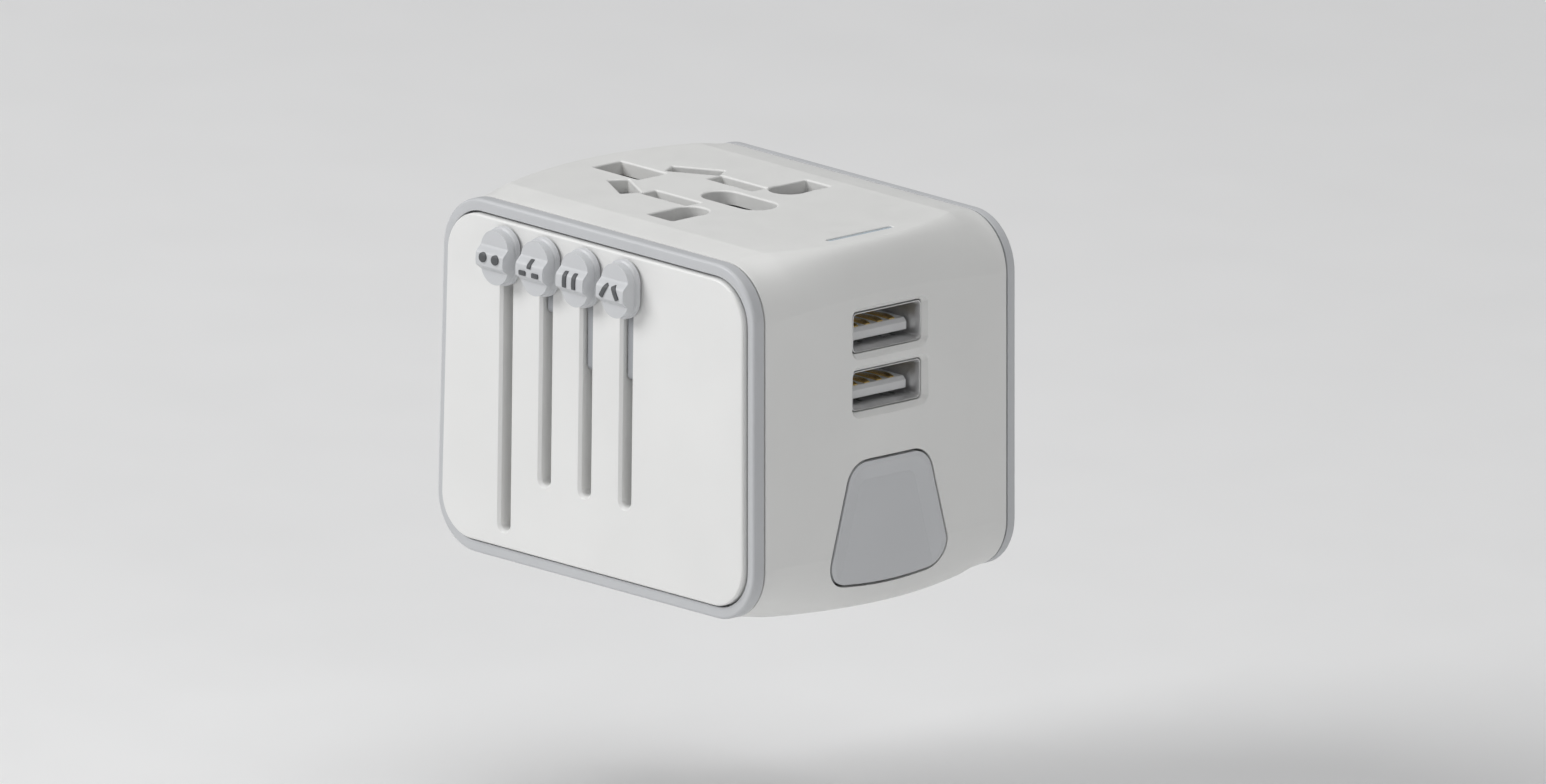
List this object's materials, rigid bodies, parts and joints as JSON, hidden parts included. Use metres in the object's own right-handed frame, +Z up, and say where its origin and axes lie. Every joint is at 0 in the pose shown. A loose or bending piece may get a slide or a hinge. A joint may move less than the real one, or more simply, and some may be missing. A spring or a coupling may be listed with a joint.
{
  "type": "universal travel adapter",
  "caption": "Compact block travel adapter with a multi-standard socket face, slide-out plugs driven by front sliders, two stacked USB ports and side release buttons.",
  "frame": {"origin": "middle of the flat plug face, the underside that the plugs slide out of", "axes": "+X along the front towards the USB ports, +Y from the slider face to the rear, +Z up towards the socket face"},
  "size_m": [0.0674, 0.0554, 0.0529],
  "materials": {
    "housing_plastic": "fine satin texture",
    "trim_plastic": "satin",
    "slider_plastic": "satin",
    "inner_plastic": "as moulded",
    "dark_plastic": "satin",
    "nickel": "bright nickel plate",
    "contact_brass": "stamped and polished",
    "screw_steel": "zinc plate",
    "circuit_board": "solder mask",
    "lens_plastic": "frosted light guide",
    "fuse_ceramic": "unglazed ceramic"
  },
  "bodies": {
    "root": {"housing": "housing_plastic", "front_bezel": "trim_plastic", "rear_bezel": "trim_plastic", "front_panel": "housing_plastic", "rear_panel": "housing_plastic", "case_screw_1": "screw_steel", "case_screw_2": "screw_steel", "case_screw_3": "screw_steel", "case_screw_4": "screw_steel", "release_spring_right": "screw_steel", "release_spring_left": "screw_steel", "usb_shell_upper": "nickel", "usb_tongue_upper": "dark_plastic", "usb_shell_lower": "nickel", "usb_tongue_lower": "dark_plastic", "usb_board": "circuit_board", "socket_core": "inner_plastic", "live_contact": "contact_brass", "neutral_contact": "contact_brass", "earth_contact": "contact_brass", "indicator_lens": "lens_plastic", "transformer": "dark_plastic", "capacitor": "dark_plastic", "fuse": "fuse_ceramic", "fuse_clip_left": "contact_brass", "fuse_clip_right": "contact_brass"},
    "eu_plug": {"slider_eu": "slider_plastic", "eu_plug_base": "trim_plastic", "eu_pin_front": "nickel", "eu_pin_rear": "nickel"},
    "uk_plug": {"slider_uk": "slider_plastic", "uk_plug_carrier": "inner_plastic", "uk_live_pin_rear": "contact_brass", "uk_live_pin_front": "contact_brass", "uk_earth_pin": "contact_brass"},
    "us_plug": {"slider_us": "slider_plastic", "us_plug_carrier": "inner_plastic", "us_blade_rear": "nickel", "us_blade_front": "nickel"},
    "au_plug": {"slider_au": "slider_plastic", "au_plug_carrier": "inner_plastic", "au_blade_rear": "nickel", "au_blade_front": "nickel"},
    "right_release": {"release_button_right": "slider_plastic"},
    "left_release": {"release_button_left": "slider_plastic"}
  },
  "joints": [
    {"name": "eu_slide", "type": "slide", "parent": "root", "child": "eu_plug", "axis": [0, 0, -1], "range_m": [0, 0.0356]},
    {"name": "uk_slide", "type": "slide", "parent": "root", "child": "uk_plug", "axis": [0, 0, -1], "range_m": [0, 0.0243]},
    {"name": "us_slide", "type": "slide", "parent": "root", "child": "us_plug", "axis": [0, 0, -1], "range_m": [0, 0.0176]},
    {"name": "au_slide", "type": "slide", "parent": "root", "child": "au_plug", "axis": [0, 0, -1], "range_m": [0, 0.0177]},
    {"name": "right_release_press", "type": "slide", "parent": "root", "child": "right_release", "axis": [-1, 0, 0], "range_m": [0, 0.0016], "stiffness_N_per_m": 800},
    {"name": "left_release_press", "type": "slide", "parent": "root", "child": "left_release", "axis": [1, 0, 0], "range_m": [0, 0.0016], "stiffness_N_per_m": 800}
  ]
}
